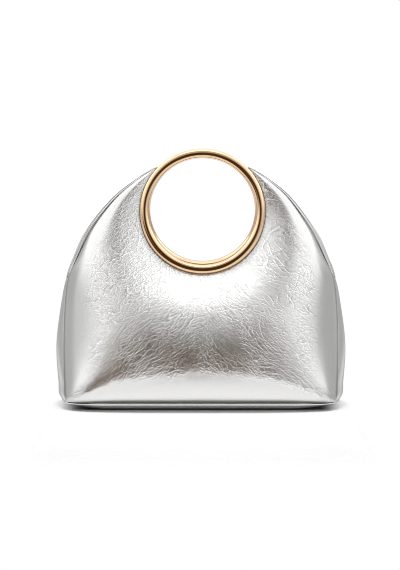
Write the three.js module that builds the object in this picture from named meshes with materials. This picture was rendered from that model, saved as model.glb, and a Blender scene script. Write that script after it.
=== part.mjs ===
// A small half-moon handbag in crinkled silver leather, carried by two gold rings.
// Millimetres, +Z up. It stands on z = 0, its front faces -Y and x = 0 is the middle of its base.
import * as THREE from 'three'

// Driving sizes
const WALL = 1.8
const GAP = 0.3
const BASE = { height: 6.2, edge: 1.6, edgeSteps: 2 }
const RING = { x: 1.5, z: 172.5, depth: 16, leanDegrees: 8, radius: 51.3, tube: 4.1 }
const CUT_OUT = { clearance: 0.35, forward: 1 }
const RIM_THICKNESS = 2

// Each row is a section of a panel, from the ring out to the panel's edge: the ring angle that it starts
// at, the edge point it ends at and the edge's depth from the middle plane. The leather swells out between
// the two, with its own rise from the ring and rounding towards the edge. The gusset bows out past the edge.
// The rim stands out past it, reaches under it and is set back from it.
const SECTIONS = [
  { place: 'bottom middle', angle: -90, x: 0, z: 6.5, edge: 45.5, swell: 17.6, rise: 2.95, round: 1.5 },
  { place: 'bottom quarter', angle: -73, x: 62, z: 6.5, edge: 45.5, swell: 17.9, rise: 3.2, round: 1.5 },
  { place: 'bottom end', angle: -62, x: 104, z: 6.5, edge: 44, swell: 18.6, rise: 3.4, round: 1.75 },
  { place: 'corner', angle: -56, x: 118, z: 6.5, edge: 36.6, swell: 19.6, rise: 3.35, round: 2.6,
    bow: 7 },
  { place: 'low side', angle: -50, x: 120.8, z: 21.5, edge: 27.6, swell: 20.5, rise: 2.9, round: 2.6,
    bow: 7.2 },
  { place: 'side', angle: -42, x: 122.2, z: 53.5, edge: 15.5, swell: 23.3, rise: 2.5, round: 2.6,
    bow: 7.4 },
  { place: 'high side', angle: -34, x: 121.3, z: 89.5, edge: 7.5, swell: 25.4, rise: 2.1, round: 3.3,
    bow: 3.8 },
  { place: 'gusset top', angle: -26, x: 118.4, z: 112.8, edge: 4.6, swell: 23.3, rise: 1.7, round: 4,
    bow: 1.6, rim: 1.8, under: 4 },
  { place: 'low hip', angle: -18, x: 110.7, z: 129.1, edge: 7.2, swell: 18.9, rise: 1.45, round: 4.3,
    rim: 3.5, under: 4 },
  { place: 'hip', angle: -7, x: 97, z: 155.9, edge: 9.5, swell: 14.6, rise: 1.35, round: 4.5,
    rim: 4.6, under: 4 },
  { place: 'shoulder', angle: 10, x: 77.5, z: 182.5, edge: 10.7, swell: 10.7, rise: 1.2, round: 4.6,
    rim: 3.4, under: 4 },
  { place: 'shoulder top', angle: 27, x: 60, z: 198.3, edge: 10.3, swell: 5.8, rise: 1.05, round: 4.5,
    rim: 2.1, under: 3, set: 0.9 },
  { place: 'ring end', angle: 37, x: 46.7, z: 207.4, edge: 10.9, swell: 1.5, rise: 1.05, round: 4.3,
    rim: 1, under: 1.2, set: 2.2 },
  { place: 'tip', angle: 44, x: 40.4, z: 211.2, edge: 11.7, swell: 0, rise: 1.05, round: 4.3,
    rim: 0.2, under: 0.3, set: 3.9 },
]
const LAST = SECTIONS.length - 1
const GUSSET = { from: 3, to: 6.97 }
const RIM = { from: 7, level: 0.7, to: LAST }

const SWELL_EDGE_POWER = 0.57
// Inside its edge the panel's outline softens, so the corners fade out towards the ring.
const SOFTEN = { rows: 3.1, power: 2.7, weights: [1, 2, 3, 4, 3, 2, 1] }
// The top of the outline is centred on the ring, which sits a little to one side.
const SHIFT = { from: 156.5, to: 201.5 }
const MESH = { sectionSteps: 2, panelSteps: 14, edgeBias: 1.7, gussetSteps: 8, gussetRows: 3, rimSteps: 3 }
const RING_SIDES = { around: 48, tube: 10 }

const silverLeather = new THREE.MeshStandardMaterial({ color: 0xc9c8c5, roughness: 0.32, metalness: 0.9 })
const gold = new THREE.MeshStandardMaterial({ color: 0xd9a866, roughness: 0.12, metalness: 1 })

// Section table, read between its rows by a smooth curve and mirrored across the bag's middle
function cell(index, column) {
  const end = Math.sign(index) * LAST
  if (Math.abs(index) > LAST) return 2 * cell(end, column) - cell(2 * end - index, column)
  const value = SECTIONS[Math.abs(index)][column] ?? 0
  if (index >= 0) return value
  if (column === 'angle') return -180 - value
  return column === 'x' ? -value : value
}

function between(place, column) {
  const row = Math.min(Math.max(Math.floor(place), -LAST), LAST - 1)
  const t = place - row
  const [a, b, c, d] = [-1, 0, 1, 2].map((step) => cell(row + step, column))
  return b + 0.5 * t * (c - a + t * (2 * a - 5 * b + 4 * c - d + t * (3 * (b - c) + d - a)))
}

function outline(place) {
  const z = Math.max(between(place, 'z'), BASE.height + GAP)
  const shift = RING.x * THREE.MathUtils.smoothstep(z, SHIFT.from, SHIFT.to)
  return { x: between(place, 'x') + shift, z, edge: between(place, 'edge') }
}

function outwardAt(place) {
  const step = 0.02
  const a = outline(Math.max(place - step, -LAST))
  const b = outline(Math.min(place + step, LAST))
  return new THREE.Vector2(b.z - a.z, a.x - b.x).normalize()
}

function softened(place, along) {
  const total = SOFTEN.weights.reduce((sum, weight) => sum + weight)
  const half = (SOFTEN.weights.length - 1) / 2
  const reach = SOFTEN.rows * (1 - along ** SOFTEN.power)
  const result = { x: 0, z: 0, edge: 0, swell: 0, rise: 0, round: 0 }
  SOFTEN.weights.forEach((weight, index) => {
    const shifted = THREE.MathUtils.clamp(place + (index / half - 1) * reach, -LAST, LAST)
    const section = outline(shifted)
    for (const column of ['swell', 'rise', 'round']) section[column] = between(shifted, column)
    for (const column in result) result[column] += (section[column] * weight) / total
  })
  return result
}

// The swell rises from the ring, then falls ever more steeply to the edge
function swellAt(section, along) {
  const rising = 1 - (1 - along) ** section.rise
  return section.swell * rising * (1 - along ** section.round) ** SWELL_EDGE_POWER
}

// Edge of the round cut-out, just in front of the widest line of the ring
function cutOutPoint(angle) {
  const lean = THREE.MathUtils.degToRad(RING.leanDegrees)
  const turn = THREE.MathUtils.degToRad(angle)
  const radius = RING.radius + Math.sqrt((RING.tube + CUT_OUT.clearance) ** 2 - CUT_OUT.forward ** 2)
  const up = radius * Math.sin(turn)
  return {
    x: RING.x + radius * Math.cos(turn),
    z: RING.z + up * Math.cos(lean) + CUT_OUT.forward * Math.sin(lean),
    depth: RING.depth - up * Math.sin(lean) + CUT_OUT.forward * Math.cos(lean),
  }
}

// A point on the outer face of the front panel: along is 0 at the ring and 1 at the panel's edge
function panelPoint(place, along) {
  const section = softened(place, along)
  const start = cutOutPoint(between(place, 'angle'))
  const depth = THREE.MathUtils.lerp(start.depth, section.edge, along) + swellAt(section, along)
  const x = THREE.MathUtils.lerp(start.x, section.x, along)
  const z = THREE.MathUtils.lerp(start.z, section.z, along)
  return new THREE.Vector3(x, -depth, z)
}

// Direction of the leather's thickness: square to the outline along the panel's edge, and to the front where
// the panel runs out at the ring
function panelNormal(place, along) {
  const normal = along === 1 ? edgeNormal(place) : faceNormal(place, along)
  const runOut = 1 - Math.min(LAST - Math.abs(place), 1)
  return normal.lerp(new THREE.Vector3(0, -1, 0), runOut).normalize()
}

function edgeNormal(place) {
  const outward = outwardAt(place)
  return new THREE.Vector3(outward.x, 0, outward.y)
}

function faceNormal(place, along) {
  const step = 0.002
  const across = panelPoint(Math.min(place + step, LAST), along)
  across.sub(panelPoint(Math.max(place - step, -LAST), along))
  const down = panelPoint(place, along + step).sub(panelPoint(place, Math.max(along - step, 0)))
  return down.cross(across).normalize()
}

// A closed wall from two grids of points, its outer and inner faces, joined around their border
function wall(outer, inner) {
  const columns = outer.length
  const rows = outer[0].length
  const points = [...outer.flat(), ...inner.flat()]
  const triangles = []
  const quad = (a, b, c, d) => triangles.push(a, b, c, a, c, d)
  const front = (i, j) => i * rows + j
  const back = (i, j) => columns * rows + front(i, j)
  for (let i = 0; i < columns - 1; i++) {
    for (let j = 0; j < rows - 1; j++) {
      quad(front(i, j), front(i + 1, j), front(i + 1, j + 1), front(i, j + 1))
      quad(back(i, j), back(i, j + 1), back(i + 1, j + 1), back(i + 1, j))
    }
    quad(front(i + 1, 0), front(i, 0), back(i, 0), back(i + 1, 0))
    quad(front(i, rows - 1), front(i + 1, rows - 1), back(i + 1, rows - 1), back(i, rows - 1))
  }
  for (let j = 0; j < rows - 1; j++) {
    quad(front(0, j), front(0, j + 1), back(0, j + 1), back(0, j))
    quad(front(columns - 1, j + 1), front(columns - 1, j), back(columns - 1, j), back(columns - 1, j + 1))
  }
  const geometry = new THREE.BufferGeometry().setFromPoints(points)
  geometry.setIndex(facingOut(points, triangles))
  geometry.computeVertexNormals()
  return geometry
}

function facingOut(points, triangles) {
  let volume = 0
  for (let i = 0; i < triangles.length; i += 3) {
    const [a, b, c] = triangles.slice(i, i + 3).map((index) => points[index])
    volume += a.dot(b.clone().cross(c))
  }
  return volume > 0 ? triangles : triangles.reverse()
}

function steps(from, to, count) {
  return Array.from({ length: count + 1 }, (_, i) => from + ((to - from) * i) / count)
}
const turnedBack = (point) => point.setY(-point.y)

// Front and back panels
function panel(behind) {
  const places = steps(-LAST, LAST, 2 * LAST * MESH.sectionSteps)
  const alongs = steps(0, 1, MESH.panelSteps).map((step) => 1 - (1 - step) ** MESH.edgeBias)
  const outer = places.map((place) => alongs.map((along) => panelPoint(place, along)))
  const inner = places.map((place) =>
    alongs.map((along) => panelPoint(place, along).addScaledVector(panelNormal(place, along), -WALL)))
  if (behind) [...outer.flat(), ...inner.flat()].forEach(turnedBack)
  return wall(outer, inner)
}

// Side gusset, from the base up to its point between the panels
function gussetPoint(place, across, side) {
  const seam = outline(place)
  const bow = between(place, 'bow') * (1 - across ** 2)
  return new THREE.Vector3(side * (seam.x + bow), across * (seam.edge - GAP), seam.z)
}

function gusset(side) {
  const places = steps(GUSSET.from, GUSSET.to, Math.ceil((GUSSET.to - GUSSET.from) * MESH.gussetRows))
  const acrosses = steps(-1, 1, MESH.gussetSteps)
  const outer = places.map((place) => acrosses.map((across) => gussetPoint(place, across, side)))
  const inner = outer.map((row) => row.map((point) => point.clone().setX(point.x - side * WALL)))
  return wall(outer, inner)
}

// Rim strip along the mouth, just behind the panel's edge and cut level over the gusset
function rimOutward(place, side) {
  const level = 1 - THREE.MathUtils.smoothstep(place, RIM.from, RIM.from + RIM.level)
  return outwardAt(side * place).lerp(new THREE.Vector2(side, 0), level)
}

function rim(side, behind) {
  const places = steps(RIM.from, RIM.to, (RIM.to - RIM.from) * MESH.rimSteps)
  const face = (set) =>
    places.map((place) => {
      const edge = outline(side * place)
      const outward = rimOutward(place, side)
      const depth = edge.edge - GAP - between(place, 'set') - set
      return [-between(place, 'under'), between(place, 'rim')].map(
        (reach) => new THREE.Vector3(edge.x + outward.x * reach, -depth, edge.z + outward.y * reach))
    })
  const outer = face(0)
  const inner = face(RIM_THICKNESS)
  if (behind) [...outer.flat(), ...inner.flat()].forEach(turnedBack)
  return wall(outer, inner)
}

// Base panel, its outline following the bottom seams of the panels and gussets
function base() {
  const corner = GUSSET.from
  const frontEdge = steps(-corner, corner, 2 * corner * (MESH.sectionSteps + 1)).map((place) => {
    const seam = outline(place)
    return new THREE.Vector2(seam.x, -seam.edge)
  })
  const endEdge = steps(-1, 1, MESH.gussetSteps)
    .slice(1, -1)
    .map((across) => gussetPoint(corner, across, 1))
    .map((point) => new THREE.Vector2(point.x, point.y))
  const half = [...frontEdge, ...endEdge]
  const shape = new THREE.Shape([...half, ...half.map((point) => point.clone().negate())])
  const geometry = new THREE.ExtrudeGeometry(shape, {
    depth: BASE.height - 2 * BASE.edge,
    bevelThickness: BASE.edge,
    bevelSize: BASE.edge,
    bevelOffset: -BASE.edge,
    bevelSegments: BASE.edgeSteps,
  })
  return geometry.translate(0, 0, BASE.edge)
}

// Ring handle, leaning towards its fellow at the top
function ring(behind) {
  const geometry = new THREE.TorusGeometry(RING.radius, RING.tube, RING_SIDES.tube, RING_SIDES.around)
  const side = behind ? 1 : -1
  const lean = THREE.MathUtils.degToRad(RING.leanDegrees)
  geometry.rotateX(Math.PI / 2 + side * lean)
  return geometry.translate(RING.x, side * RING.depth, RING.z)
}

const bag = new THREE.Group()
function add(name, geometry, material) {
  const mesh = new THREE.Mesh(geometry, material)
  mesh.name = name
  bag.add(mesh)
}

const SIDES = [['left', -1], ['right', 1]]
add('base', base(), silverLeather)
for (const [name, side] of SIDES) add(`gusset_${name}`, gusset(side), silverLeather)
for (const [face, behind] of [['front', false], ['back', true]]) {
  add(`${face}_panel`, panel(behind), silverLeather)
  for (const [name, side] of SIDES) add(`${face}_rim_${name}`, rim(side, behind), silverLeather)
  add(`${face}_ring`, ring(behind), gold)
}

export default bag
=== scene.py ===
"""Looks of a half-moon handbag in crinkled silver leather with two gold ring handles."""
import math

import bpy
import numpy as np
from bpy.props import FloatProperty, FloatVectorProperty, PointerProperty
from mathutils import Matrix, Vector, noise


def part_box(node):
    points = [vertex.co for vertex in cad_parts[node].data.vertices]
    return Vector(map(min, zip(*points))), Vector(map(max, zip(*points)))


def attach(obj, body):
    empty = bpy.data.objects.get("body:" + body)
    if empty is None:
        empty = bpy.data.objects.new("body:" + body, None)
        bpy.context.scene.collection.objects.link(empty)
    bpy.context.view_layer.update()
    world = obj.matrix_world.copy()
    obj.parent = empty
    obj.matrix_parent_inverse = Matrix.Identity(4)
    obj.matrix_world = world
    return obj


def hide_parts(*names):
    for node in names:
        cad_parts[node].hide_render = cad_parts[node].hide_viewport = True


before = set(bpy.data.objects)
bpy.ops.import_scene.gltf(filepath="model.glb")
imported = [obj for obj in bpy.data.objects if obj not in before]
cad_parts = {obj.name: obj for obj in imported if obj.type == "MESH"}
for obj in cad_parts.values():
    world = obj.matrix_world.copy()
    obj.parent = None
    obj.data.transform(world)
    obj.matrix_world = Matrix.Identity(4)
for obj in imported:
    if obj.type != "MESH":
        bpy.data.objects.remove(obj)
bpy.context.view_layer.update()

bl_info = {
    "name": "Ring Handle Handbag",
    "version": (1, 0, 0),
    "blender": (4, 5, 0),
    "location": "View3D > Sidebar > Handbag",
    "description": "Builds a handbag's leather, rims, base and rings, and the studio around it",
    "category": "Add Mesh",
}

BODY = "root"

# Sections of a panel, in metres and degrees. Each starts at an angle on the ring and ends at a point of the
# panel's outline, at a depth from the bag's middle plane. The leather swells out between the two, sooner
# with a higher rise, and falls later with a higher round. The gusset bows out past the outline. The rim
# stands out past it, reaches under it and is set back from it.
SECTIONS = (
    dict(place="bottom middle", angle=-90, x=0, z=0.0065, edge=0.0455,
         swell=0.0176, rise=2.95, round=1.5),
    dict(place="bottom quarter", angle=-73, x=0.062, z=0.0065, edge=0.0455,
         swell=0.0179, rise=3.2, round=1.5),
    dict(place="bottom end", angle=-62, x=0.104, z=0.0065, edge=0.044,
         swell=0.0186, rise=3.4, round=1.75),
    dict(place="corner", angle=-56, x=0.118, z=0.0065, edge=0.0366,
         swell=0.0196, rise=3.35, round=2.6, bow=0.007),
    dict(place="low side", angle=-50, x=0.1208, z=0.0215, edge=0.0276,
         swell=0.0205, rise=2.9, round=2.6, bow=0.0072),
    dict(place="side", angle=-42, x=0.1222, z=0.0535, edge=0.0155,
         swell=0.0233, rise=2.5, round=2.6, bow=0.0074),
    dict(place="high side", angle=-34, x=0.1213, z=0.0895, edge=0.0075,
         swell=0.0254, rise=2.1, round=3.3, bow=0.0038),
    dict(place="gusset top", angle=-26, x=0.1184, z=0.1128, edge=0.0046,
         swell=0.0233, rise=1.7, round=4, bow=0.0016, rim=0.0018, under=0.004),
    dict(place="low hip", angle=-18, x=0.1107, z=0.1291, edge=0.0072,
         swell=0.0189, rise=1.45, round=4.3, rim=0.0035, under=0.004),
    dict(place="hip", angle=-7, x=0.097, z=0.1559, edge=0.0095,
         swell=0.0146, rise=1.35, round=4.5, rim=0.0046, under=0.004),
    dict(place="shoulder", angle=10, x=0.0775, z=0.1825, edge=0.0107,
         swell=0.0107, rise=1.2, round=4.6, rim=0.0034, under=0.004),
    dict(place="shoulder top", angle=27, x=0.06, z=0.1983, edge=0.0103,
         swell=0.0058, rise=1.05, round=4.5, rim=0.0021, under=0.003, set_back=0.0009),
    dict(place="ring end", angle=37, x=0.0467, z=0.2074, edge=0.0109,
         swell=0.0015, rise=1.05, round=4.3, rim=0.001, under=0.0012, set_back=0.0022),
    dict(place="tip", angle=44, x=0.0404, z=0.2112, edge=0.0117,
         swell=0, rise=1.05, round=4.3, rim=0.0002, under=0.0003, set_back=0.0039),
)
LAST = len(SECTIONS) - 1

# Rows of the table between which the gusset and the rims run. The gusset ends just short of the rims.
ROWS = {section["place"]: row for row, section in enumerate(SECTIONS)}
CORNER = ROWS["corner"]
GUSSET_SPAN = (CORNER, ROWS["gusset top"] - 0.03)
RIM_SPAN = (ROWS["gusset top"], LAST)
RIM_LEVEL = 0.7

# The run of the leather: sections are softened into each other towards the ring, the top follows the ring's
# offset, and the cut-out ends a little in front of the ring's widest line.
SWELL_EDGE_POWER = 0.57
SOFTEN_ROWS = 3.1
SOFTEN_POWER = 2.7
SOFTEN_WEIGHTS = (1, 2, 3, 4, 3, 2, 1)
SHIFT_HEIGHTS = (0.1565, 0.2015)
CUT_OUT_CLEARANCE = 0.00035
CUT_OUT_FORWARD = 0.001

# Creases, seen from the front in metres from the base's middle. Each is pressed in along its
# line, and the leather on one side of it is raised.
CREASES = (
    dict(place="left belly", depth=0.000062,
         line=((-0.075, 0.0555), (-0.071, 0.0645), (-0.064, 0.0745), (-0.057, 0.0795))),
    dict(place="left belly, inner", depth=0.00005,
         line=((-0.072, 0.0565), (-0.068, 0.0655), (-0.06, 0.0725))),
    dict(place="middle left", depth=0.000056,
         line=((-0.046, 0.0545), (-0.042, 0.0615), (-0.035, 0.0685))),
    dict(place="middle left, arc", depth=0.000039,
         line=((-0.039, 0.0595), (-0.035, 0.0615), (-0.03, 0.0585))),
    dict(place="across the belly", depth=0.000034,
         line=((-0.035, 0.0785), (-0.025, 0.0765), (-0.013, 0.0795), (-0.001, 0.0795))),
    dict(place="low middle", depth=0.000017, line=((-0.018, 0.0405), (-0.009, 0.0365), (-0.001, 0.0365))),
    dict(place="low middle, branch", depth=0.000015, line=((-0.013, 0.0325), (-0.006, 0.0355))),
    dict(place="left, high", depth=0.00005, line=((-0.081, 0.1035), (-0.073, 0.1105), (-0.071, 0.1155))),
    dict(place="ring, low left", depth=0.00005,
         line=((-0.046, 0.1285), (-0.039, 0.1265), (-0.035, 0.1205))),
    dict(place="under the ring", depth=0.00005,
         line=((-0.031, 0.1165), (-0.025, 0.1135), (-0.016, 0.1105), (-0.007, 0.1095),
               (0.001, 0.1105), (0.008, 0.1095), (0.014, 0.1135), (0.02, 0.1145))),
    dict(place="under the ring, right", depth=0.000034,
         line=((0.008, 0.0905), (0.019, 0.0895), (0.03, 0.0905), (0.039, 0.0945), (0.047, 0.0985))),
    dict(place="right foot, low", depth=0.000067,
         line=((0.036, 0.0635), (0.047, 0.0565), (0.056, 0.0465))),
    dict(place="right foot, high", depth=0.000067,
         line=((0.045, 0.0635), (0.053, 0.0555), (0.06, 0.0485))),
    dict(place="right foot, left", depth=0.00005,
         line=((0.023, 0.0775), (0.034, 0.0665), (0.042, 0.0605))),
    dict(place="right foot, right", depth=0.00005,
         line=((0.039, 0.0725), (0.045, 0.0655), (0.052, 0.0615))),
    dict(place="right foot, toe", depth=0.000017,
         line=((0.039, 0.0305), (0.045, 0.0345), (0.048, 0.0315))),
    dict(place="middle, low", depth=0.00005, line=((-0.005, 0.0555), (0.001, 0.0475), (0.006, 0.0405))),
    dict(place="lower band", depth=0.000016,
         line=((-0.009, 0.0345), (-0.003, 0.0385), (0.004, 0.0365), (0.01, 0.0315))),
    dict(place="right", depth=0.000056, line=((0.071, 0.1065), (0.078, 0.0975), (0.083, 0.0965))),
    dict(place="right, lower", depth=0.00005, line=((0.073, 0.0995), (0.079, 0.0915), (0.086, 0.0945))),
    dict(place="ring, left", depth=0.000062,
         line=((-0.064, 0.1655), (-0.057, 0.1585), (-0.051, 0.1495), (-0.042, 0.1385), (-0.035, 0.1205))),
    dict(place="ring, left, inner", depth=0.000045,
         line=((-0.055, 0.1415), (-0.046, 0.1345), (-0.039, 0.1255))),
    dict(place="left hip", depth=0.000062,
         line=((-0.103, 0.1245), (-0.094, 0.1255), (-0.09, 0.1205), (-0.083, 0.1295))),
    dict(place="ring, right", depth=0.00005, line=((0.056, 0.1685), (0.06, 0.1655), (0.061, 0.1595))),
    dict(place="ring, right, long", depth=0.000062,
         line=((0.069, 0.1605), (0.06, 0.1545), (0.056, 0.1465), (0.051, 0.1375))),
    dict(place="right hip", depth=0.000056, line=((0.082, 0.1425), (0.089, 0.1345))),
    dict(place="right hip, low", depth=0.00005, line=((0.06, 0.1335), (0.071, 0.1375), (0.078, 0.1345))),
)
CREASE_WIDTH = 0.0008
CREASE_FADE_POWER = 4
RAISED_OFFSET = 1.9 * CREASE_WIDTH
RAISED_WIDTH = 1.3 * CREASE_WIDTH
RAISED_REACH = 6 * CREASE_WIDTH
RAISED_SHARE = 0.8

# Low relief all over the panels: rolls, and wrinkles where a bent noise passes through zero.
ROLL_HEIGHT = 0.00018
ROLL_SCALE = 26
WRINKLES = (
    dict(height=0.00004, scale=42, width=0.16, shift=(0, 0, 0)),
    dict(height=0.00003, scale=88, width=0.2, shift=(3, 1, 7)),
)
WRINKLE_BEND = 0.006
WRINKLE_BEND_SCALE = 38
WRINKLE_SEED = 1
SMOOTH_RELIEF = 0.06
EDGE_CALM = 0.04

# The crinkled front ends in a fold that runs level under the belly, then down to each corner.
FOLD_LINE = ((0, 0.0373), (0.0526, 0.0318), (0.0785, 0.0262), (0.1, 0.0167), (0.11, 0.012), (0.119, 0.0095))
FOLD_HEIGHT = 0.0006
FOLD_WIDTHS = (0.0045, 0.013)
FOLD_MIDDLE = 0.4
FOLD_GROWTH = (0.02, 0.07)
FOLD_WANDER = 0.0012
FOLD_WAVES = (330, 140)
FOLD_PHASE = 1

# Where the leather is crinkled: above the fold and along it to the corners, but not at the sides.
CRINKLE_START = (-0.009, 0.002)
CRINKLE_SIDES = (0.088, 0.108)
CRINKLE_FADE = (0.6, 0.82)
CRINKLE_CHANGE = (5.5, 7.5)
FOLD_CRINKLE = 0.9
FOLD_CRINKLE_HEIGHT = 0.003
FOLD_CRINKLE_WIDTH = 0.004

# Painted shade in the seams, darkening the foil's colour: along the panel's edge, by rows of the table, and
# where the panel meets the ring.
PAINTED_SHADE_FADE = (0.965, 0.995)
PAINTED_SEAM_SHADE = ((1.2, 2.4, 2.9, 3.5, 6.5, 8), (0.5, 0.2, 0.1, 0.7, 0.7, 0.35))
RING_PAINTED_SHADE_REACH = (0, 0.06)
RING_PAINTED_SHADE = 0.35

# Soft light panels of the studio, in degrees. Azimuth is counted from the front, to both sides unless
# one-sided, and a later panel covers an earlier one.
STUDIO_PANELS = (
    dict(name="open sides", azimuth=140, half_width=45, elevation=6, half_height=6, soft=10,
         glow=(0.51, 0.51, 0.505)),
    dict(name="dim back", azimuth=172, half_width=20, elevation=-6, half_height=8, soft=10,
         glow=(0.5, 0.5, 0.495)),
    dict(name="dim right", azimuth=88, half_width=14, elevation=2, half_height=10, soft=16,
         glow=(0.5, 0.5, 0.495), one_sided=True),
    dict(name="high side boxes", azimuth=96, half_width=24, elevation=43, half_height=16, soft=8,
         glow=(2.6, 2.6, 2.6)),
    dict(name="side boxes", azimuth=50, half_width=24, elevation=25, half_height=4, soft=13,
         glow=(1.32, 1.32, 1.32)),
    dict(name="dim front", azimuth=0, half_width=9, elevation=19.5, half_height=14, soft=5,
         glow=(0.565, 0.56, 0.55)),
    dict(name="front box", azimuth=0, half_width=24, elevation=59, half_height=17.5, soft=5,
         glow=(1.85, 1.85, 1.85)),
    dict(name="dark front", azimuth=-9, half_width=17, elevation=-0.5, half_height=9, soft=5,
         glow=(0.1, 0.045, 0.005), one_sided=True),
    dict(name="dark column", azimuth=0, half_width=3, elevation=10.5, half_height=5, soft=4,
         glow=(0.05, 0.03, 0.015), one_sided=True),
)

# Glow behind the panels. A band starts at its first elevation, in radians, and is full at its second.
GROUND_GLOW = (0.9, 0.9, 0.9)
GLOW_BANDS = (
    dict(name="horizon", elevation=(-0.05, 0), glow=(0.703, 0.703, 0.703)),
    dict(name="upper", elevation=(0.1, 0.6), glow=(1.13, 1.13, 1.13)),
    dict(name="overhead", elevation=(1.05, 1.3), glow=(1.5, 1.5, 1.5)),
)
BACKDROP = (1, 1, 1)

# The lamp, the camera's sensor in millimetres and the width of its filter in pixels.
KEY_PLACE = (0, 0.22, 1.6)
KEY_AIM = (0, -0.05, 0)
KEY_WIDTH = 0.25
SENSOR_WIDTH = 36
PIXEL_FILTER = 1.05

# The floor, and the distances from its middle at which it fades out.
FLOOR_COLOUR = (0.93, 0.93, 0.93)
FLOOR_FRONT = (0.2, 0.3)
FLOOR_FADE = (0.4, 0.75)
FLOOR_SIDE = (0.105, 0.14)


class BagSizes(bpy.types.PropertyGroup):
    """Sizes of the bag's pieces"""

    wall: FloatProperty(
        name="Leather", description="Thickness of the leather", default=0.0018, unit="LENGTH")
    gap: FloatProperty(
        name="Gap", description="Clearance between neighbouring pieces", default=0.0003, unit="LENGTH")
    base_height: FloatProperty(
        name="Base height", description="Thickness of the base panel",
        default=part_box("base")[1].z, unit="LENGTH")
    ring_x: FloatProperty(
        name="Ring offset", description="How far the rings sit to the right of the middle",
        default=0.0015, unit="LENGTH")
    ring_z: FloatProperty(
        name="Ring height", description="Height of the rings' centres", default=0.1725, unit="LENGTH")
    ring_depth: FloatProperty(
        name="Ring depth", description="Distance of a ring's centre from the middle plane",
        default=0.016, unit="LENGTH")
    ring_radius: FloatProperty(
        name="Ring radius", description="Radius of a ring at the middle of its tube",
        default=0.0513, unit="LENGTH")
    ring_tube: FloatProperty(
        name="Ring tube", description="Radius of a ring's tube", default=0.0041, unit="LENGTH")
    ring_lean: FloatProperty(
        name="Ring lean", description="Angle by which the rings lean together at the top",
        default=math.radians(8), subtype="ANGLE")
    rim_thickness: FloatProperty(
        name="Rim thickness", description="Thickness of the rim strips", default=0.002, unit="LENGTH")


class BagFinish(bpy.types.PropertyGroup):
    """Colours and relief of the bag's finishes"""

    silver: FloatVectorProperty(
        name="Silver", description="Colour of the foil on the leather",
        default=(0.75, 0.748, 0.741), subtype="COLOR")
    silver_roughness: FloatProperty(
        name="Silver roughness", description="Roughness of the smooth foil", default=0.17, min=0, max=1)
    crinkle: FloatProperty(
        name="Crinkle", description="Height of the fine creases", default=0.00012, unit="LENGTH")
    suede: FloatVectorProperty(
        name="Suede", description="Colour of the leather's inner side",
        default=(0.36, 0.35, 0.33), subtype="COLOR")
    gold: FloatVectorProperty(
        name="Gold", description="Colour of the rings", default=(0.9, 0.6, 0.34), subtype="COLOR")
    gold_roughness: FloatProperty(
        name="Gold roughness", description="Roughness of the polished rings", default=0.05, min=0, max=1)


class StudioLook(bpy.types.PropertyGroup):
    """The camera and the light around the bag"""

    distance: FloatProperty(
        name="Distance", description="From the camera to the bag's middle", default=1.4, unit="LENGTH")
    pitch: FloatProperty(
        name="Pitch", description="How far the camera looks down", default=math.radians(5), subtype="ANGLE")
    aim_height: FloatProperty(
        name="Aim height", description="Height of the point at the picture's centre",
        default=0.106, unit="LENGTH")
    aim_x: FloatProperty(
        name="Aim offset", description="Sideways place of the picture's centre", default=-0.0008,
        unit="LENGTH")
    lens: FloatProperty(
        name="Lens", description="Focal length in millimetres on a 36 mm sensor", default=98.83)
    key_power: FloatProperty(
        name="Key light", description="Power in watts of the lamp above and behind the bag", default=24.5)
    ambient: FloatProperty(
        name="Ambient", description="Share of the studio's glow that lights matt surfaces",
        default=0.12, min=0, max=1)


def sizes():
    return bpy.context.scene.bag_sizes


def finish_look():
    return bpy.context.scene.bag_finish


# Shape of the leather

def column(name):
    """A column of the section table, mirrored to the left half and carried one row past each end."""
    right = np.array([float(row.get(name, 0)) for row in SECTIONS])
    left = right[:0:-1]
    if name == "x":
        left = -left
    if name == "angle":
        left = -180 - left
    whole = np.concatenate([left, right])
    return np.concatenate([[2 * whole[0] - whole[1]], whole, [2 * whole[-1] - whole[-2]]])


COLUMNS = {
    name: column(name)
    for name in ("angle", "x", "z", "edge", "swell", "rise", "round", "bow", "rim", "under", "set_back")
}


def between(place, name):
    """A column's value between rows, on a smooth curve through them."""
    values = COLUMNS[name]
    row = np.clip(np.floor(place), -LAST, LAST - 1).astype(int)
    t = place - row
    a, b, c, d = (values[row + LAST + 1 + step] for step in (-1, 0, 1, 2))
    return b + 0.5 * t * (c - a + t * (2 * a - 5 * b + 4 * c - d + t * (3 * (b - c) + d - a)))


def smooth(value, low, high):
    t = np.clip((value - low) / (high - low), 0, 1)
    return t * t * (3 - 2 * t)


def outline(place):
    """Point and depth of a panel's edge."""
    size = sizes()
    z = np.maximum(between(place, "z"), size.base_height + size.gap)
    x = between(place, "x") + size.ring_x * smooth(z, *SHIFT_HEIGHTS)
    return x, z, between(place, "edge")


def outward_at(place):
    """Direction out of the outline, in the plane of the panel."""
    step = 0.02
    ax, az, _ = outline(np.maximum(place - step, -LAST))
    bx, bz, _ = outline(np.minimum(place + step, LAST))
    length = np.hypot(bx - ax, bz - az)
    return (bz - az) / length, (ax - bx) / length


def cut_out(angle):
    """Edge of the round cut-out, a little in front of the widest line of the ring."""
    size = sizes()
    turn = np.radians(angle)
    radius = size.ring_radius + math.sqrt((size.ring_tube + CUT_OUT_CLEARANCE) ** 2 - CUT_OUT_FORWARD ** 2)
    up = radius * np.sin(turn)
    x = size.ring_x + radius * np.cos(turn)
    z = size.ring_z + up * math.cos(size.ring_lean) + CUT_OUT_FORWARD * math.sin(size.ring_lean)
    depth = size.ring_depth - up * math.sin(size.ring_lean) + CUT_OUT_FORWARD * math.cos(size.ring_lean)
    return x, z, depth


def swell_shape(along, rise, rounding):
    """Rises from the ring and falls ever more steeply to the edge."""
    return (1 - (1 - along) ** rise) * (1 - along ** rounding) ** SWELL_EDGE_POWER


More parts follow.
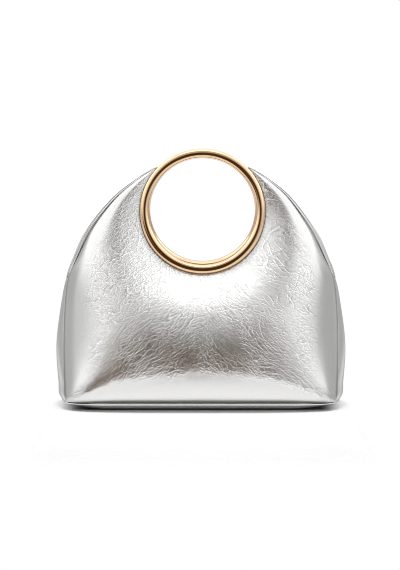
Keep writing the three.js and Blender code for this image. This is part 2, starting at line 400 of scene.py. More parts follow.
def panel_face(places, alongs):
    """Grid of points on the front panel's outer face, from the ring (0) out to its edge (1)."""
    place, along = np.meshgrid(places, alongs, indexing="ij")
    half = (len(SOFTEN_WEIGHTS) - 1) / 2
    soft = np.zeros((6, *place.shape))
    reach = SOFTEN_ROWS * (1 - along ** SOFTEN_POWER)
    for index, weight in enumerate(SOFTEN_WEIGHTS):
        shifted = np.clip(place + (index / half - 1) * reach, -LAST, LAST)
        x, z, edge = outline(shifted)
        swelling = (between(shifted, name) for name in ("swell", "rise", "round"))
        soft += weight / sum(SOFTEN_WEIGHTS) * np.array([x, z, edge, *swelling])
    start_x, start_z, start_depth = cut_out(between(place, "angle"))
    x = start_x + (soft[0] - start_x) * along
    z = start_z + (soft[1] - start_z) * along
    depth = start_depth + (soft[2] - start_depth) * along + soft[3] * swell_shape(along, soft[4], soft[5])
    return np.stack([x, -depth, z], axis=-1)


def thickness_directions(places, points):
    """Out of the leather: square to the outline along the edge, forward where it runs out at the ring."""
    across, down = np.gradient(points, axis=0), np.gradient(points, axis=1)
    directions = np.cross(down, across)
    directions /= np.linalg.norm(directions, axis=-1, keepdims=True)
    out_x, out_z = outward_at(places)
    directions[:, -1] = np.stack([out_x, np.zeros_like(out_x), out_z], axis=-1)
    run_out = 1 - np.minimum(LAST - np.abs(places), 1)[:, None, None]
    directions += run_out * (np.array([0, -1, 0]) - directions)
    return directions / np.linalg.norm(directions, axis=-1, keepdims=True)


# Meshes

SHARP_ANGLE = 55


def new_piece(name, points, faces, materials, material_index=None):
    mesh = bpy.data.meshes.new(name)
    mesh.from_pydata(points, [], faces)
    for material in materials:
        mesh.materials.append(material)
    if material_index is not None:
        mesh.polygons.foreach_set("material_index", material_index)
    mesh.polygons.foreach_set("use_smooth", [True] * len(mesh.polygons))
    mesh.set_sharp_from_angle(angle=math.radians(SHARP_ANGLE))
    mesh.update()
    piece = bpy.data.objects.new(name, mesh)
    bpy.context.scene.collection.objects.link(piece)
    return piece


def dress(piece, node):
    """The piece joins the body and stands for its solid, which is hidden."""
    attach(piece, BODY)
    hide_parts(node)


def mark(piece, label, shares):
    """Give the piece's first points a number that its material reads."""
    values = np.zeros(len(piece.data.vertices))
    values[:shares.size] = shares.ravel()
    piece.data.attributes.new(label, "FLOAT", "POINT").data.foreach_set("value", values)


def grid_quads(ids):
    a, b, c, d = ids[:-1, :-1], ids[1:, :-1], ids[1:, 1:], ids[:-1, 1:]
    return np.stack([a, b, c, d], axis=-1).reshape(-1, 4)


def wall_piece(name, outer, inner, coarse, materials, flip=False):
    """A closed wall: a fine outer grid, an inner one in larger faces, and strips joining their borders."""
    columns, rows = outer.shape[:2]
    outer_ids = np.arange(columns * rows).reshape(columns, rows)
    keep = np.zeros((columns, rows), bool)
    keep[::coarse, ::coarse] = True
    keep[[0, -1], :] = True
    keep[:, [0, -1]] = True
    inner_ids = np.full((columns, rows), -1)
    inner_ids[keep] = columns * rows + np.arange(keep.sum())
    points = np.concatenate([outer.reshape(-1, 3), inner[keep]])
    faces = grid_quads(outer_ids)[:, ::-1].tolist()
    outer_count = len(faces)
    for i in range(0, columns - 1, coarse):
        for j in range(0, rows - 1, coarse):
            low = inner_ids[i:i + coarse + 1, j]
            right = inner_ids[i + coarse, j:j + coarse + 1]
            high = inner_ids[i:i + coarse + 1, j + coarse][::-1]
            left = inner_ids[i, j:j + coarse + 1][::-1]
            loop = np.concatenate([low[:-1], right[:-1], high[:-1], left[:-1]])
            faces.append(loop[loop >= 0].tolist())
    inner_count = len(faces) - outer_count
    for border in (
        (outer_ids[:, 0], inner_ids[:, 0]),
        (outer_ids[-1, :], inner_ids[-1, :]),
        (outer_ids[::-1, -1], inner_ids[::-1, -1]),
        (outer_ids[0, ::-1], inner_ids[0, ::-1]),
    ):
        faces += grid_quads(np.stack(border, axis=-1)).tolist()
    if flip:
        faces = [face[::-1] for face in faces]
    index = np.zeros(len(faces), int)
    index[outer_count:outer_count + inner_count] = len(materials) - 1
    return new_piece(name, points, faces, materials, index)


def loft_piece(name, loops, materials, round_again=False):
    """A solid through closed loops of points, with flat ends or, round again, back to the first loop."""
    count, sides = loops.shape[:2]
    ids = np.arange(count * sides).reshape(count, sides)
    ids = np.concatenate([ids, ids[:, :1]], axis=1)
    if round_again:
        ids = np.concatenate([ids, ids[:1]])
    faces = grid_quads(ids).tolist()
    if not round_again:
        faces.append(ids[0, :-1].tolist())
        faces.append(ids[-1, :-1][::-1].tolist())
    points = loops.reshape(-1, 3)
    a, b, c = (points[[face[corner] for face in faces]] for corner in range(3))
    if np.einsum("ij,ij->i", a, np.cross(b, c)).sum() < 0:
        faces = [face[::-1] for face in faces]
    return new_piece(name, points, faces, materials)


# Shader maths

class Number:
    """A number in a shader: arithmetic on it adds Math nodes."""

    def __init__(self, graph, socket):
        self.graph = graph
        self.socket = socket

    def math(self, operation, *others):
        values = dict(enumerate((self, *others)))
        return self.graph.number("ShaderNodeMath", {"operation": operation}, values)

    def __add__(self, other):
        return self.math("ADD", other)

    __radd__ = __add__

    def __mul__(self, other):
        return self.math("MULTIPLY", other)

    __rmul__ = __mul__

    def __sub__(self, other):
        return self.math("SUBTRACT", other)

    def __rsub__(self, other):
        return (self * -1) + other

    def __abs__(self):
        return self.math("ABSOLUTE")

    def smooth(self, low, high):
        settings = {"interpolation_type": "SMOOTHSTEP"}
        return self.graph.number("ShaderNodeMapRange", settings, {0: self, 1: low, 2: high, 3: 0.0, 4: 1.0})


class Graph:
    """A node tree that is filled by expressions."""

    def __init__(self, tree):
        self.tree = tree
        tree.nodes.clear()

    def node(self, kind, settings=None, sockets=None):
        made = self.tree.nodes.new(kind)
        for name, value in (settings or {}).items():
            setattr(made, name, value)
        for name, value in (sockets or {}).items():
            self.feed(made.inputs[name], value)
        return made

    def feed(self, socket, value):
        if isinstance(value, Number):
            value = value.socket
        if isinstance(value, bpy.types.NodeSocket):
            self.tree.links.new(value, socket)
        else:
            socket.default_value = value

    def number(self, kind, settings=None, sockets=None, output=0):
        return Number(self, self.node(kind, settings, sockets).outputs[output])

    def noise(self, vector, scale, detail=0.0, roughness=0.5):
        sockets = {"Vector": vector, "Scale": scale, "Detail": detail, "Roughness": roughness}
        return self.number("ShaderNodeTexNoise", None, sockets)

    def vector(self, operation, *values):
        made = self.node("ShaderNodeVectorMath", {"operation": operation}, dict(enumerate(values)))
        return made.outputs["Vector"]

    def mix(self, factor, a, b):
        made = self.node("ShaderNodeMix", {"data_type": "RGBA"})
        for socket, value in zip((made.inputs[0], made.inputs[6], made.inputs[7]), (factor, a, b)):
            self.feed(socket, value)
        return made.outputs[2]


def rgba(colour, share=1):
    """A colour, or a darker or lighter share of it, as a socket takes it."""
    return (*(share * part for part in colour), 1.0)


def new_material(name):
    material = bpy.data.materials.get(name)
    if material:
        return material, None
    material = bpy.data.materials.new(name)
    material.use_nodes = True
    return material, Graph(material.node_tree)


def finish_surface(graph, sockets):
    surface = graph.node("ShaderNodeBsdfPrincipled", None, sockets)
    graph.node("ShaderNodeOutputMaterial", None, {"Surface": surface.outputs[0]})


# Finishes

# Sets of fine creases: their half of the bag, their lean in radians, their length in metres, the scale of
# the patches that they show in, and their share.
HAIRLINE_SETS = (
    dict(half="left", lean=-0.85, length=0.014, patches=28, share=1),
    dict(half="left", lean=-0.6, length=0.0085, patches=31, share=1),
    dict(half="right", lean=0.85, length=0.014, patches=33, share=1),
    dict(half="right", lean=0.6, length=0.0085, patches=35, share=1),
    dict(half="both", lean=0.1, length=0.011, patches=37, share=0.8),
    dict(half="left", lean=-0.75, length=0.0058, patches=25, share=0.9),
    dict(half="right", lean=0.75, length=0.0058, patches=26, share=0.9),
)
HALF_CHANGE = (-0.04, 0.04)
PATCH_RANGE = (0.36, 0.62)
HAIRLINE_SPACING = 0.45
HAIRLINE_WIDTH = 0.07
HAIRLINE_SIDE = 0.0007
HAIRLINE_BENDS = ((0.03, 0.014), (0.008, 0.003))

# The foil. Heights are shares of the crinkle's height. Tones are shares of the silver or move between them.
GRAIN_SCALE = 850
CREST_HEIGHT = 0.35
GRAIN_HEIGHT = 0.2
SMOOTH_GRAIN_HEIGHT = 0.08
# Painted highlight on the crests of the fine creases and painted shade on their sides.
CREST_PAINTED_HIGHLIGHT = 0.7
SIDE_PAINTED_SHADE = 0.8
GRAIN_TONE = 0.8
SMOOTH_GRAIN_TONE = 0.25
FOIL_TONES = (0.68, 1.32)
# The dark silver that the painted shade in the seams and under the base mixes towards.
PAINTED_SHADE_TONE = 0.12
MOTTLE_SCALE = 40
MOTTLE_ROUGHNESS = 0.06
CRINKLE_ROUGHNESS = 0.055

NAP_SCALE = 700
NAP_HEIGHT = 0.0003
NAP_TONE = 0.7

RUBBED_SCALE = 160
RUBBED_TONE = 0.96
RUBBED_ROUGHNESS = 0.04


def hairlines(graph, where, lean, length):
    """Thin creases along the edges of stretched cells: crests and, a little aside, sides; the foil's colour
    lightens the crests as painted highlight and darkens the sides as painted shade.
    """
    spacing = length * HAIRLINE_SPACING
    lines = []
    for aside in (0, HAIRLINE_SIDE):
        placed = {
            "Vector": where, "Location": (aside * math.sin(lean), 0, aside * math.cos(lean)),
            "Rotation": (0, lean, 0), "Scale": (length, spacing, spacing)}
        stretched = graph.node("ShaderNodeMapping", {"vector_type": "TEXTURE"}, placed).outputs[0]
        cells = {"Vector": stretched, "Scale": 1.0}
        away = graph.number("ShaderNodeTexVoronoi", {"feature": "DISTANCE_TO_EDGE"}, cells, "Distance")
        lines.append(1 - away.smooth(0, HAIRLINE_WIDTH))
    return lines


def bent(graph, where, size, amount):
    """The place moved about by a noise, so that straight lines in it become curved."""
    wander = graph.node("ShaderNodeTexNoise", None, {"Vector": where, "Scale": 1 / size, "Detail": 1.0})
    drift = graph.vector("SUBTRACT", wander.outputs["Color"], (0.5, 0.5, 0.5))
    return graph.vector("MULTIPLY_ADD", drift, (amount,) * 3, where)


def silver_leather():
    """Silver foil on leather, crinkled by fine creases where the mesh says so, and darkened by painted
    shade where the mesh marks it.
    """
    material, graph = new_material("crinkled_silver")
    if graph is None:
        return material
    look = finish_look()
    where = graph.node("ShaderNodeTexCoord").outputs["Object"]
    crinkle = graph.number("ShaderNodeAttribute", {"attribute_name": "crinkle"}, None, "Fac")
    painted_seam_shade = graph.number("ShaderNodeAttribute", {"attribute_name": "painted_seam_shade"}, None, "Fac")
    curved = where
    for size, amount in HAIRLINE_BENDS:
        curved = bent(graph, curved, size, amount)
    across = Number(graph, graph.node("ShaderNodeSeparateXYZ", None, {0: where}).outputs[0])
    to_right = across.smooth(*HALF_CHANGE)
    halves = {"left": 1 - to_right, "right": to_right, "both": 1}
    crests, sides = 0, 0
    for lines in HAIRLINE_SETS:
        shown = graph.noise(where, lines["patches"], detail=1).smooth(*PATCH_RANGE)
        shown = shown * halves[lines["half"]] * lines["share"]
        crest, side = hairlines(graph, curved, lines["lean"], lines["length"])
        crests, sides = crest * shown + crests, side * shown + sides
    grain = graph.noise(where, GRAIN_SCALE, detail=1, roughness=0.6)
    height = (crests * CREST_HEIGHT + grain * GRAIN_HEIGHT) * crinkle + grain * SMOOTH_GRAIN_HEIGHT
    bump = graph.node("ShaderNodeBump", None, {"Strength": 1.0, "Distance": look.crinkle, "Height": height})
    mottle = graph.noise(where, MOTTLE_SCALE, detail=3)
    roughness = look.silver_roughness + mottle * MOTTLE_ROUGHNESS + crinkle * CRINKLE_ROUGHNESS
    speckle = (grain - 0.5) * (crinkle * GRAIN_TONE + SMOOTH_GRAIN_TONE)
    # Painted highlight on the crease crests and painted shade beside them, in the foil's colour.
    tone = speckle + (crests * CREST_PAINTED_HIGHLIGHT - sides * SIDE_PAINTED_SHADE) * crinkle + 0.5
    colour = graph.mix(tone, *(rgba(look.silver, share) for share in FOIL_TONES))
    # Painted shade, where the seams and the base's lower part are marked.
    colour = graph.mix(painted_seam_shade, colour, rgba(look.silver, PAINTED_SHADE_TONE))
    finish_surface(graph, {
        "Base Color": colour, "Metallic": 1.0, "Roughness": roughness, "Normal": bump.outputs[0]})
    return material


def suede():
    """The raw inner side of the leather."""
    material, graph = new_material("suede")
    if graph is None:
        return material
    look = finish_look()
    where = graph.node("ShaderNodeTexCoord").outputs["Object"]
    nap = graph.noise(where, NAP_SCALE, detail=3, roughness=0.65)
    colour = graph.mix(nap, rgba(look.suede, NAP_TONE), rgba(look.suede))
    bump = graph.node("ShaderNodeBump", None, {"Strength": 0.4, "Distance": NAP_HEIGHT, "Height": nap})
    finish_surface(graph, {"Base Color": colour, "Roughness": 0.92, "Normal": bump.outputs[0]})
    return material


def polished_gold():
    """Gold plating, polished, with faint rubbing marks."""
    material, graph = new_material("polished_gold")
    if graph is None:
        return material
    look = finish_look()
    where = graph.node("ShaderNodeTexCoord").outputs["Object"]
    rubbed = graph.noise(where, RUBBED_SCALE, detail=4, roughness=0.6)
    colour = graph.mix(rubbed, rgba(look.gold, RUBBED_TONE), rgba(look.gold))
    roughness = look.gold_roughness + rubbed * RUBBED_ROUGHNESS
    finish_surface(graph, {
        "Base Color": colour, "Metallic": 1.0, "Roughness": roughness,
        "Coat Weight": 1.0, "Coat IOR": 1.9, "Coat Roughness": 0.03})
    return material


def pale_floor():
    """A pale floor that fades out around the bag."""
    material, graph = new_material("pale_floor")
    if graph is None:
        return material
    where = graph.node("ShaderNodeTexCoord").outputs["Object"]
    parts = graph.node("ShaderNodeSeparateXYZ", None, {0: where}).outputs
    sideways = abs(Number(graph, parts[0]))
    forward = Number(graph, parts[1]) * -1
    away = graph.number("ShaderNodeVectorMath", {"operation": "LENGTH"}, {0: where}, "Value")
    near = (1 - away.smooth(*FLOOR_FADE)) * (1 - sideways.smooth(*FLOOR_SIDE))
    alpha = (1 - forward.smooth(*FLOOR_FRONT)) * near
    finish_surface(graph, {"Base Color": rgba(FLOOR_COLOUR), "Roughness": 0.9, "Alpha": alpha})
    return material


# Pieces

PANEL_COLUMNS = 560
PANEL_ROWS = 144
INNER_COARSE = 4
EDGE_BIAS = 1.35
MIDWAY = 0.55
GUSSET_COLUMNS = 96
GUSSET_ROWS = 64
RIM_STEPS = 150
RIM_POINTS = 41
RIM_ROUNDNESS = 5
RIM_ROLLS = (0.28, 0.77)
RIM_ROLL_WIDTH = 0.17
RIM_VALLEY = 0.55
RIM_BACK = 0.9
BASE_FRONT_STEPS = 120
BASE_END_STEPS = 40
BASE_LOOPS = 17
BASE_UNDERCUT = 0.005
BASE_ROUNDING = 0.001
BASE_ROUND_START = 0.7
BASE_CORNER = (0.08, 0.12)
BASE_CORNER_LIFT = 0.0032
BASE_LIP_INSET = (0.0005, 0.0028)
BASE_LIP_CORNER = (0.095, 0.112)
BASE_LIP_HEIGHT = 0.0023
BASE_SUEDE_START = BASE_LIP_HEIGHT / 4
# How far up the painted shade on the base's lower part reaches, as shares of its height.
BASE_PAINTED_SHADE_FADE = (0, 0.5)
RING_SQUARENESS = 3.0
RING_STEPS = 360
RING_SIDES = 112


def even_places(count):
    """Places along the panel, spaced evenly about half-way between the ring and the edge."""
    places = np.linspace(-LAST, LAST, 4 * count + 1)
    middle = panel_face(places, np.array([MIDWAY]))[:, 0]
    walked = np.concatenate([[0], np.cumsum(np.linalg.norm(np.diff(middle, axis=0), axis=1))])
    return np.interp(np.linspace(0, walked[-1], count + 1), walked, places)


def crease_relief(points):
    """Height of the named creases at each point of the front, below zero where they are pressed in."""
    x, z = points[..., 0], points[..., 2]
    heights = np.zeros(x.shape)
    for crease in CREASES:
        line = np.array(crease["line"])
        nearest = np.full(x.shape, np.inf)
        sided = np.zeros(x.shape)
        gone = np.zeros(x.shape)
        lengths = np.linalg.norm(np.diff(line, axis=0), axis=1)
        for index, (start, end) in enumerate(zip(line[:-1], line[1:])):
            way = (end - start) / lengths[index]
            ahead = np.clip((x - start[0]) * way[0] + (z - start[1]) * way[1], 0, lengths[index])
            off_x, off_z = x - start[0] - way[0] * ahead, z - start[1] - way[1] * ahead
            away = np.hypot(off_x, off_z)
            closer = away < nearest
            nearest = np.where(closer, away, nearest)
            sided = np.where(closer, np.copysign(away, way[0] * off_z - way[1] * off_x), sided)
            gone = np.where(closer, (lengths[:index].sum() + ahead) / lengths.sum(), gone)
        fade = 1 - (2 * gone - 1) ** CREASE_FADE_POWER
        pressed = np.exp(-(nearest / CREASE_WIDTH) ** 2)
        raised = np.exp(-((sided - RAISED_OFFSET) / RAISED_WIDTH) ** 2) * (nearest < RAISED_REACH)
        heights += crease["depth"] * fade * (RAISED_SHARE * raised - pressed)
    return heights


def relief(points, strength):
    """Height of the rolls and wrinkles at each point of a panel."""
    noise.seed_set(WRINKLE_SEED)
    heights = np.zeros(points.shape[:2])
    for index in np.ndindex(heights.shape):
        where = Vector(points[index])
        moved = where + WRINKLE_BEND * noise.noise_vector(where * WRINKLE_BEND_SCALE)
        heights[index] = ROLL_HEIGHT * noise.noise(where * ROLL_SCALE)
        for wrinkle in WRINKLES:
            value = abs(noise.noise(moved * wrinkle["scale"] + Vector(wrinkle["shift"])))
            heights[index] += wrinkle["height"] * max(0.0, 1 - value / wrinkle["width"]) ** 2
    return heights * strength


def above_fold(points):
    """How far each point lies above the fold under the crinkled front."""
    line_x, line_z = np.array(FOLD_LINE).T
    x = points[..., 0]
    wander = FOLD_WANDER * np.sin(x * FOLD_WAVES[0] + FOLD_PHASE) * np.sin(x * FOLD_WAVES[1])
    return points[..., 2] - np.interp(np.abs(x), line_x, line_z) - wander


def fold_share(points):
    """How strong the fold is: weaker in the middle, full towards the corners and gone at their ends."""
    x = np.abs(points[..., 0])
    rising = FOLD_MIDDLE + (1 - FOLD_MIDDLE) * smooth(x, *FOLD_GROWTH)
    return rising * (1 - smooth(x, FOLD_LINE[-2][0], FOLD_LINE[-1][0]))


def fold_relief(points):
    """The fold's crest: steep below its line and easy above it."""
    height = above_fold(points)
    width = np.where(height < 0, *FOLD_WIDTHS)
    return FOLD_HEIGHT * np.exp(-(height / width) ** 2) * fold_share(points)


def crinkle_strength(places, alongs, points):
    """How crinkled the leather is: all over the front, but not below the fold nor towards the edges."""
    x = np.abs(points[..., 0])
    height = above_fold(points)
    front = smooth(height, *CRINKLE_START) * (1 - smooth(x, *CRINKLE_SIDES))
    along_fold = np.exp(-((height - FOLD_CRINKLE_HEIGHT) / FOLD_CRINKLE_WIDTH) ** 2)
    low = np.maximum(front, FOLD_CRINKLE * along_fold * fold_share(points))
    high = np.broadcast_to(1 - smooth(alongs, *CRINKLE_FADE), low.shape)
    share = smooth(np.abs(places), *CRINKLE_CHANGE)[:, None]
    return low + (high - low) * share


class BAG_OT_panels(bpy.types.Operator):
    """Build the front and back panels, swollen between the ring and their edges and crinkled all over"""

    bl_idname = "bag.panels"
    bl_label = "Panels"

    def execute(self, context):
        size = sizes()
        places = even_places(PANEL_COLUMNS)
        alongs = 1 - (1 - np.linspace(0, 1, PANEL_ROWS + 1)) ** EDGE_BIAS
        face = panel_face(places, alongs)
        outward = thickness_directions(places, face)
        strength = crinkle_strength(places, alongs, face)
        # Painted shade: darker along the panel's edge and where the panel meets the ring.
        painted_seam_shade = smooth(alongs, *PAINTED_SHADE_FADE) * np.interp(np.abs(places), *PAINTED_SEAM_SHADE)[:, None]
        painted_seam_shade = painted_seam_shade + RING_PAINTED_SHADE * (1 - smooth(alongs, *RING_PAINTED_SHADE_REACH))
        calm = smooth(1 - alongs, 0, EDGE_CALM)[None, :, None]
        rough = SMOOTH_RELIEF + (1 - SMOOTH_RELIEF) * strength
        inner = face - size.wall * outward
        for name, side in (("front", 1), ("back", -1)):
            turn = np.array([1, side, 1])
            heights = relief(face * turn, rough) + fold_relief(face)
            heights += crease_relief(face * np.array([side, 1, 1]))
            outer = face + heights[..., None] * outward * calm
            piece = wall_piece(
                f"{name}_panel_leather", outer * turn, inner * turn, INNER_COARSE,
                [silver_leather(), suede()], flip=side < 0)
            mark(piece, "crinkle", strength)
            mark(piece, "painted_seam_shade", painted_seam_shade)
            dress(piece, f"{name}_panel")
        return {"FINISHED"}


class BAG_OT_gussets(bpy.types.Operator):
    """Build the side gussets, bowed out between the two panels"""

    bl_idname = "bag.gussets"
    bl_label = "Gussets"

    def execute(self, context):
        size = sizes()
        places = np.linspace(*GUSSET_SPAN, GUSSET_COLUMNS + 1)
        place, across = np.meshgrid(places, np.linspace(-1, 1, GUSSET_ROWS + 1), indexing="ij")
        seam_x, seam_z, seam_depth = outline(place)
        bow = between(place, "bow") * (1 - across ** 2)
        outer = np.stack([seam_x + bow, across * (seam_depth - size.gap), seam_z], axis=-1)
        inner = outer - np.array([size.wall, 0, 0])
        for name, side in (("left", -1), ("right", 1)):
            turn = np.array([side, 1, 1])
            piece = wall_piece(
                f"gusset_{name}_leather", outer * turn, inner * turn, INNER_COARSE,
                [silver_leather(), suede()], flip=side > 0)
            dress(piece, f"gusset_{name}")
        return {"FINISHED"}


def rim_profile():
    """Cross-section of a rim strip: across it, and through it with two rolled ridges on its outer half."""
    across = np.linspace(-1, 1, RIM_POINTS)
    rounded = np.sqrt(1 - np.abs(across) ** RIM_ROUNDNESS)
    rolls = sum(np.exp(-((across - middle) / RIM_ROLL_WIDTH) ** 2) for middle in RIM_ROLLS)
    front = np.stack([across, -rounded * (RIM_VALLEY + (1 - RIM_VALLEY) * rolls)], axis=-1)
    back = np.stack([across, RIM_BACK * rounded], axis=-1)[::-1]
    return np.concatenate([front, back[1:-1]])


def rim_outward(place, side):
    """Direction in which a rim stands out past the panel, turned level over the gusset."""
    out_x, out_z = outward_at(side * place)
    level = 1 - smooth(place, RIM_SPAN[0], RIM_SPAN[0] + RIM_LEVEL)
    return out_x + (side - out_x) * level, out_z * (1 - level)


class BAG_OT_rims(bpy.types.Operator):
    """Build the rim strips along the mouth"""

    bl_idname = "bag.rims"
    bl_label = "Rims"

    def execute(self, context):
        size = sizes()
        across, through = rim_profile().T
        place = np.linspace(*RIM_SPAN, RIM_STEPS)
        rim, under = between(place, "rim"), between(place, "under")
        reach = ((rim - under) / 2)[:, None] + ((rim + under) / 2)[:, None] * across
        for side_name, side in (("left", -1), ("right", 1)):
            x, z, edge = outline(side * place)
            out_x, out_z = rim_outward(place, side)
            depth = edge - size.gap - between(place, "set_back") - size.rim_thickness / 2
            loops = np.stack([
                x[:, None] + out_x[:, None] * reach,
                -depth[:, None] + through * size.rim_thickness / 2,
                z[:, None] + out_z[:, None] * reach,
            ], axis=-1)
            for face_name, face in (("front", 1), ("back", -1)):
                node = f"{face_name}_rim_{side_name}"
                piece = loft_piece(f"{node}_leather", loops * np.array([1, face, 1]), [silver_leather()])
                dress(piece, node)
        return {"FINISHED"}


class BAG_OT_base(bpy.types.Operator):
    """Build the base panel, with a rounded edge that shows under the panels' bottom edges and a low lip
    inside it; its lower part is darkened by painted shade.
    """

    bl_idname = "bag.base"
    bl_label = "Base"

    def execute(self, context):
        size = sizes()
        front_x, _, front_depth = outline(np.linspace(-CORNER, CORNER, BASE_FRONT_STEPS + 1))
        across = np.linspace(-1, 1, BASE_END_STEPS + 1)[1:-1]
        corner = np.full_like(across, CORNER)
        end_x, _, end_depth = outline(corner)
        bow = between(corner, "bow") * (1 - across ** 2)
        half = np.concatenate([
            np.stack([front_x, -front_depth], axis=-1),
            np.stack([end_x + bow, across * (end_depth - size.gap)], axis=-1),
        ])
        plan = np.concatenate([half, -half])
        ahead = np.roll(plan, -1, axis=0) - np.roll(plan, 1, axis=0)
        inward = np.stack([-ahead[:, 1], ahead[:, 0]], axis=-1)
        inward /= np.linalg.norm(inward, axis=-1, keepdims=True)
        ups = np.linspace(0, 1, BASE_LOOPS)
        lifted = BASE_CORNER_LIFT * smooth(np.abs(plan[:, 0]), *BASE_CORNER)
        loops = []
        for up in ups:
            rounding = max(0.0, (up - BASE_ROUND_START) / (1 - BASE_ROUND_START))
            inset = BASE_UNDERCUT * (1 - up) ** 3 + BASE_ROUNDING * rounding ** 2
            height = size.base_height * up + lifted * (1 - up)
            loops.append(np.column_stack([plan + inward * inset, height]))
        lip = np.interp(np.abs(plan[:, :1]), BASE_LIP_CORNER, BASE_LIP_INSET)
        for rise in (0, BASE_LIP_HEIGHT):
            height = np.full(len(plan), size.base_height + rise)
            loops.append(np.column_stack([plan + inward * lip, height]))
        piece = loft_piece("base_leather", np.array(loops), [silver_leather(), suede()])
        for polygon in piece.data.polygons:
            polygon.material_index = int(polygon.center.z > size.base_height + BASE_SUEDE_START)
        # Painted shade: the base darkens towards the floor.
        mark(piece, "painted_seam_shade", np.repeat(1 - smooth(ups, *BASE_PAINTED_SHADE_FADE), len(plan)))
        dress(piece, "base")
        return {"FINISHED"}


def squared_circle(count):
    """Points around a slightly squared circle, spaced evenly both in place and in the way they face."""
    facing = np.linspace(0, 2 * math.pi, 40 * count + 1)
    ways = np.stack([np.cos(facing), np.sin(facing)])
    points = np.copysign(np.abs(ways) ** (1 / (RING_SQUARENESS - 1)), ways)
    points /= (np.abs(points) ** RING_SQUARENESS).sum(axis=0) ** (1 / RING_SQUARENESS)
    walked = np.concatenate([[0], np.cumsum(np.linalg.norm(np.diff(points), axis=0))])
    spread = walked / walked[-1] + facing / facing[-1]
    even = np.linspace(0, 2, count, endpoint=False)
    return [np.interp(even, spread, part) for part in points]


class BAG_OT_rings(bpy.types.Operator):
    """Build the two polished rings"""

    bl_idname = "bag.rings"
    bl_label = "Rings"

    def execute(self, context):
        size = sizes()
        turn = np.linspace(0, 2 * math.pi, RING_STEPS, endpoint=False)[:, None]
        across, through = squared_circle(RING_SIDES)
        radius = size.ring_radius + size.ring_tube * across
        up, out = radius * np.sin(turn), size.ring_tube * through
        lean = size.ring_lean
        for name, side in (("front", 1), ("back", -1)):
            loops = np.stack(np.broadcast_arrays(
                size.ring_x + radius * np.cos(turn),
                -side * (size.ring_depth - up * math.sin(lean) + out * math.cos(lean)),
                size.ring_z + up * math.cos(lean) + out * math.sin(lean),
            ), axis=-1)
            piece = loft_piece(f"{name}_ring_gold", loops, [polished_gold()], round_again=True)
            dress(piece, f"{name}_ring")
        return {"FINISHED"}


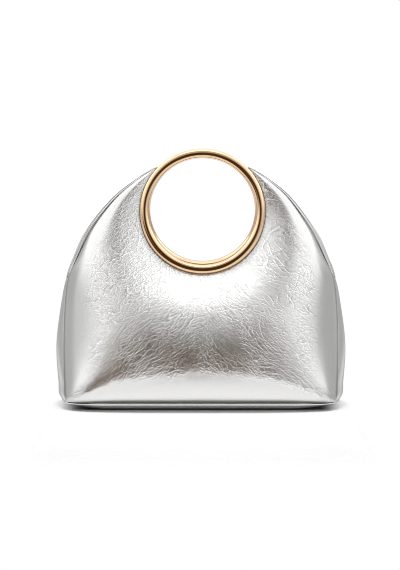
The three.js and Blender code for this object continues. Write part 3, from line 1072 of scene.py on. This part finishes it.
class BAG_OT_stage(bpy.types.Operator):
    """Build the pale floor, the studio light and the camera"""

    bl_idname = "bag.stage"
    bl_label = "Stage"

    def execute(self, context):
        scene = context.scene
        scene.view_settings.view_transform = "Standard"
        scene.cycles.filter_width = PIXEL_FILTER
        reach = FLOOR_FADE[1]
        corners = [(-reach, -reach, 0), (reach, -reach, 0), (reach, reach, 0), (-reach, reach, 0)]
        floor = new_piece("floor", corners, [(0, 1, 2, 3)], [pale_floor()])
        self.surroundings(scene)
        self.key_light(scene)
        self.camera(scene)
        return {"FINISHED"}

    def key_light(self, scene):
        """A round lamp above and behind the bag, which the silver and the gold don't mirror."""
        data = bpy.data.lights.new("key", "AREA")
        data.shape = "DISK"
        data.size = KEY_WIDTH
        data.energy = scene.bag_studio.key_power
        lamp = bpy.data.objects.new("key", data)
        lamp.visible_glossy = False
        lamp.location = KEY_PLACE
        lamp.rotation_euler = (Vector(KEY_AIM) - Vector(KEY_PLACE)).to_track_quat("-Z", "Y").to_euler()
        scene.collection.objects.link(lamp)

    def camera(self, scene):
        """The camera, in front of the bag and a little above it."""
        studio = scene.bag_studio
        data = bpy.data.cameras.new("camera")
        data.lens = studio.lens
        data.sensor_width = SENSOR_WIDTH
        camera = bpy.data.objects.new("camera", data)
        back = Vector((0, -math.cos(studio.pitch), math.sin(studio.pitch))) * studio.distance
        camera.location = Vector((studio.aim_x, 0, studio.aim_height)) + back
        camera.rotation_euler = (math.pi / 2 - studio.pitch, 0, 0)
        scene.collection.objects.link(camera)
        scene.camera = camera

    def surroundings(self, scene):
        """A white studio: dark in front near the horizon, bright above and to both sides."""
        world = bpy.data.worlds.new("studio")
        world.use_nodes = True
        world.cycles.sampling_method = "NONE"
        scene.world = world
        graph = Graph(world.node_tree)
        toward = graph.node("ShaderNodeTexCoord").outputs["Generated"]
        parts = graph.node("ShaderNodeSeparateXYZ", None, {0: toward})
        right, deep, up = (Number(graph, parts.outputs[index]) for index in range(3))
        turn = right.math("ARCTAN2", deep * -1)
        elevation = up.math("ARCSINE")
        light = rgba(GROUND_GLOW)
        for band in GLOW_BANDS:
            light = graph.mix(elevation.smooth(*band["elevation"]), light, rgba(band["glow"]))
        for panel in STUDIO_PANELS:
            place = {
                name: math.radians(panel[name])
                for name in ("azimuth", "half_width", "elevation", "half_height", "soft")
            }
            azimuth = turn if panel.get("one_sided") else abs(turn)
            sideways = abs(azimuth - place["azimuth"]) - place["half_width"]
            upward = abs(elevation - place["elevation"]) - place["half_height"]
            lit = (1 - sideways.smooth(0, place["soft"])) * (1 - upward.smooth(0, place["soft"]))
            light = graph.mix(lit, light, rgba(panel["glow"]))
        rays = graph.node("ShaderNodeLightPath").outputs
        dimmed = graph.vector("MULTIPLY", light, (scene.bag_studio.ambient,) * 3)
        light = graph.mix(rays["Is Diffuse Ray"], light, dimmed)
        shown = graph.mix(rays["Is Camera Ray"], light, rgba(BACKDROP))
        background = graph.node("ShaderNodeBackground", None, {"Color": shown, "Strength": 1.0})
        graph.node("ShaderNodeOutputWorld", None, {"Surface": background.outputs[0]})


class BAG_PT_sidebar(bpy.types.Panel):
    """Lists the handbag's pieces and their sizes"""

    bl_label = "Handbag"
    bl_idname = "BAG_PT_sidebar"
    bl_space_type = "VIEW_3D"
    bl_region_type = "UI"
    bl_category = "Handbag"

    def draw(self, context):
        layout = self.layout
        for operator in PIECES:
            layout.operator(operator.bl_idname)
        for group in (context.scene.bag_sizes, context.scene.bag_finish, context.scene.bag_studio):
            box = layout.box()
            for name in group.__annotations__:
                box.prop(group, name)


PIECES = (BAG_OT_stage, BAG_OT_panels, BAG_OT_gussets, BAG_OT_rims, BAG_OT_base, BAG_OT_rings)
CLASSES = (BagSizes, BagFinish, StudioLook, *PIECES, BAG_PT_sidebar)


def register():
    for item in CLASSES:
        bpy.utils.register_class(item)
    bpy.types.Scene.bag_sizes = PointerProperty(type=BagSizes)
    bpy.types.Scene.bag_finish = PointerProperty(type=BagFinish)
    bpy.types.Scene.bag_studio = PointerProperty(type=StudioLook)


def unregister():
    for name in ("bag_sizes", "bag_finish", "bag_studio"):
        delattr(bpy.types.Scene, name)
    for item in reversed(CLASSES):
        bpy.utils.unregister_class(item)


def main():
    register()
    bpy.ops.bag.stage()
    bpy.ops.bag.panels()
    bpy.ops.bag.gussets()
    bpy.ops.bag.rims()
    bpy.ops.bag.base()
    bpy.ops.bag.rings()


if __name__ == "__main__":
    main()
